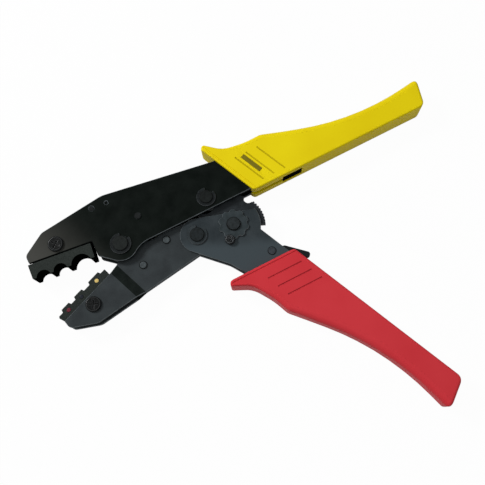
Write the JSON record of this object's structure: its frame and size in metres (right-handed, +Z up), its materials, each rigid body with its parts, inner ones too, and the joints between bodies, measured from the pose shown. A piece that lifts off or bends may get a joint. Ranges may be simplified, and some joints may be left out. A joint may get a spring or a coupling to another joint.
{
  "type": "ratchet crimping plier",
  "caption": "Frame-type ratchet crimping plier for insulated terminals, open: fixed frame and upper die, swinging jaw and lower die, toggle link, ratchet, adjuster wheel, plastic grips.",
  "frame": {"origin": "middle of the plan box, on the surface that the grips lie on", "axes": "+X from the jaw tips towards the fixed grip's end, +Y away from the moving handle, +Z up from the rest face towards the adjuster wheel"},
  "size_m": [0.225, 0.1672, 0.014],
  "materials": {
    "frame_steel": "satin black oxide",
    "jaw_steel": "satin black oxide",
    "handle_steel": "satin black oxide",
    "die_steel": "matt black oxide",
    "link_steel": "black oxide",
    "pin_steel": "dark oiled",
    "clip_steel": "dark spring steel",
    "screw_steel": "black oxide",
    "plated_screw": "dark oiled",
    "tang_steel": "black oxide",
    "spacer_steel": "plain",
    "spring_steel": "plain",
    "yellow_plastic": "satin",
    "red_plastic": "satin"
  },
  "bodies": {
    "frame": {"frame_plate_front": "frame_steel", "frame_plate_back": "frame_steel", "frame_spacer": "tang_steel", "front_sleeve": "spacer_steel", "frame_rivets": "pin_steel", "spring_post": "pin_steel", "upper_die": "die_steel", "upper_die_screw": "screw_steel", "upper_die_nut": "screw_steel", "fixed_grip": "yellow_plastic", "main_pin": "pin_steel", "main_clips": "clip_steel", "pivot_washers": "spacer_steel", "link_pin": "pin_steel", "link_clips": "clip_steel", "link_collars": "spacer_steel", "return_spring": "spring_steel"},
    "jaw": {"jaw_plate_front": "jaw_steel", "jaw_plate_back": "jaw_steel", "jaw_spacer": "jaw_steel", "jaw_rivets": "pin_steel", "lower_die": "die_steel", "lower_die_screw": "screw_steel", "lower_die_nut": "screw_steel", "knee_pin": "pin_steel", "knee_clips": "clip_steel"},
    "handle": {"handle_plate_front": "handle_steel", "handle_plate_back": "handle_steel", "handle_spacer": "tang_steel", "handle_rivets": "pin_steel", "handle_grip": "red_plastic", "adjuster_pin": "pin_steel", "adjuster_wheel": "handle_steel", "adjuster_clip": "clip_steel", "lock_screw": "plated_screw", "pawl_pin": "pin_steel", "pawl_washers": "spacer_steel", "pawl_spring": "spring_steel", "pawl_spring_post": "pin_steel"},
    "link": {"toggle_link": "link_steel"},
    "pawl": {"ratchet_pawl": "link_steel"}
  },
  "joints": [
    {"name": "handle_squeeze", "type": "hinge", "parent": "jaw", "child": "handle", "pos_m": [-0.02603, 0.03902, 0.007], "axis": [0, 0, 1], "range_deg": [0, 82.6], "stiffness_Nm_per_rad": 0.05},
    {"name": "jaw_swing", "type": "hinge", "parent": "frame", "child": "jaw", "pos_m": [-0.06428, 0.04802, 0.007], "axis": [0, 0, 1], "range_deg": [-28, 0], "deforming": ["return_spring"]},
    {"name": "link_turn", "type": "hinge", "parent": "handle", "child": "link", "pos_m": [-0.00653, 0.03778, 0.007], "axis": [0, 0, 1], "range_deg": [-101.2, 0]},
    {"name": "pawl_release", "type": "hinge", "parent": "handle", "child": "pawl", "pos_m": [0.00697, 0.01777, 0.007], "axis": [0, 0, 1], "range_deg": [-12, 6], "stiffness_Nm_per_rad": 0.01, "deforming": ["pawl_spring"]}
  ],
  "couplings": [
    {"joint": "jaw_swing", "follows": "handle_squeeze", "ratio": -0.3388},
    {"joint": "link_turn", "follows": "handle_squeeze", "ratio": -1.2243}
  ]
}
